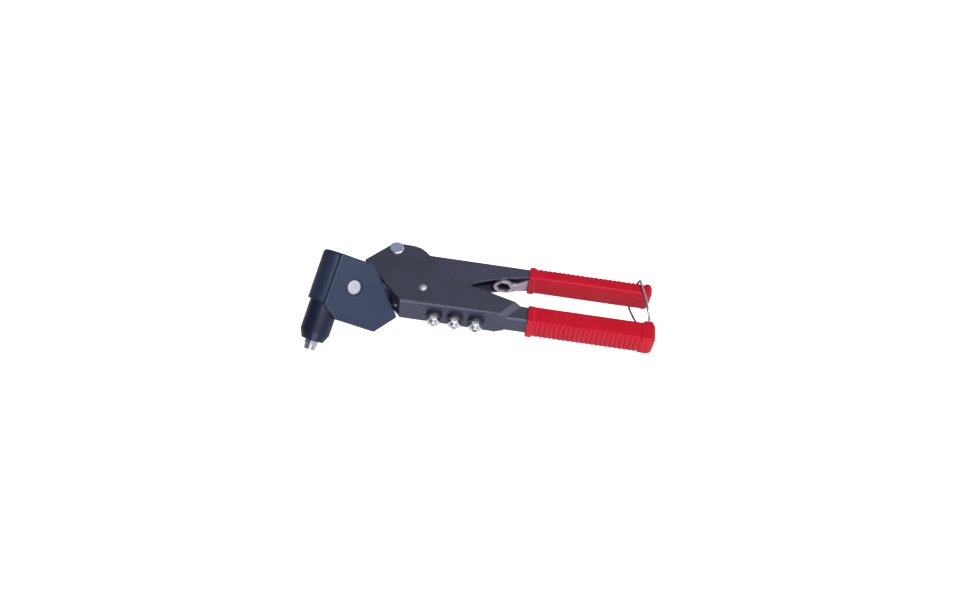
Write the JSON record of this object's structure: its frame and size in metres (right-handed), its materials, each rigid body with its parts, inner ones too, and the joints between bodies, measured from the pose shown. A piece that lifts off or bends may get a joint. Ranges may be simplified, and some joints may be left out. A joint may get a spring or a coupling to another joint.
{
  "type": "hand riveter",
  "caption": "Lever hand riveter with swivelling head, dipped grips, wire latch bail, stored spanner and spare nosepieces.",
  "frame": {"origin": "centre of the flat outer face of the lever pivot pin's far head, 13.7 mm below the tool's mid-plane", "axes": "+X toward the ends of the handles, +Y toward the lever, +Z out of one side plate of the body"},
  "size_m": [0.269, 0.0978, 0.0677],
  "materials": {
    "body_steel": "satin",
    "lever_steel": "satin",
    "head_paint": "satin",
    "tube_steel": "gloss",
    "bright_steel": "bright zinc",
    "chrome_wire": "polished",
    "spring_steel": "satin",
    "spanner_zinc": "zinc plated",
    "socket_black": "black oxide",
    "inner_steel": "machined",
    "red_vinyl": "dipped vinyl"
  },
  "bodies": {
    "frame": {"body_shell": "body_steel", "front_plate": "body_steel", "swivel_bush": "inner_steel", "bush_nut": "inner_steel", "bush_ring": "inner_steel", "swivel_washer": "body_steel", "detent_spring": "spring_steel", "lever_pivot_pin": "bright_steel", "stop_pin": "bright_steel", "nosepiece_sockets": "socket_black", "lower_grip": "red_vinyl", "spare_nosepiece_small": "bright_steel", "spare_nosepiece_medium": "bright_steel", "spare_nosepiece_large": "bright_steel"},
    "lever": {"lever_arm": "lever_steel", "pivot_sleeve": "inner_steel", "roller_pin": "inner_steel", "upper_grip": "red_vinyl"},
    "push_roller": {"push_roller": "inner_steel"},
    "spanner": {"spanner": "spanner_zinc"},
    "bail": {"latch_bail": "chrome_wire"},
    "rod": {"push_rod": "inner_steel"},
    "head": {"head_casting": "head_paint", "spring_cap": "inner_steel", "nose_tube": "tube_steel", "nosepiece": "bright_steel", "crank_pin": "bright_steel", "return_spring": "spring_steel"},
    "crank": {"bell_crank": "inner_steel", "crank_roller_pin": "inner_steel"},
    "crank_roller": {"crank_roller": "inner_steel"},
    "jaw_case": {"drawbar": "inner_steel", "jaw_case": "inner_steel", "jaw_spring": "spring_steel"},
    "jaws": {"jaws": "inner_steel", "jaw_pusher": "inner_steel"}
  },
  "joints": [
    {"name": "lever_pivot", "type": "hinge", "parent": "frame", "child": "lever", "pos_m": [0, 0, 0.0137], "axis": [0, 0, 1], "range_deg": [-4.5, 39]},
    {"name": "push_roller_spin", "type": "hinge", "parent": "lever", "child": "push_roller", "pos_m": [0.00823, -0.01516, 0.0137], "axis": [0, 0, 1], "continuous": true},
    {"name": "spanner_draw", "type": "slide", "parent": "lever", "child": "spanner", "axis": [-1, 0, 0], "range_m": [0, 0.015]},
    {"name": "bail_swing", "type": "hinge", "parent": "frame", "child": "bail", "pos_m": [0.2025, -0.0415, 0.0137], "axis": [0, 0, 1], "range_deg": [-50, 0]},
    {"name": "rod_slide", "type": "slide", "parent": "frame", "child": "rod", "axis": [-0.7071, -0.7071, 0], "range_m": [-0.01155, 0.00135]},
    {"name": "head_swivel", "type": "hinge", "parent": "frame", "child": "head", "pos_m": [-0.0066, -0.031, 0.0137], "axis": [-0.7071, -0.7071, 0], "continuous": true},
    {"name": "crank_turn", "type": "hinge", "parent": "head", "child": "crank", "pos_m": [-0.03221, -0.04189, 0.0261], "axis": [0.5417, -0.5417, 0.6428], "range_deg": [-4.9, 41.8]},
    {"name": "crank_roller_spin", "type": "hinge", "parent": "crank", "child": "crank_roller", "pos_m": [-0.02865, -0.05237, 0.01427], "axis": [0.5417, -0.5417, 0.6428], "continuous": true},
    {"name": "jaw_stroke", "type": "slide", "parent": "head", "child": "jaw_case", "axis": [-0.1786, -0.8214, -0.5417], "range_m": [-0.00105, 0.00895], "deforming": ["return_spring"]},
    {"name": "jaw_float", "type": "slide", "parent": "jaw_case", "child": "jaws", "axis": [0.1786, 0.8214, 0.5417], "range_m": [0, 0.002], "deforming": ["jaw_spring"]}
  ],
  "couplings": [
    {"joint": "rod_slide", "follows": "lever_pivot", "m_per_rad": -0.0169},
    {"joint": "crank_turn", "follows": "lever_pivot", "ratio": 1.068},
    {"joint": "jaw_stroke", "follows": "lever_pivot", "m_per_rad": 0.0131}
  ]
}
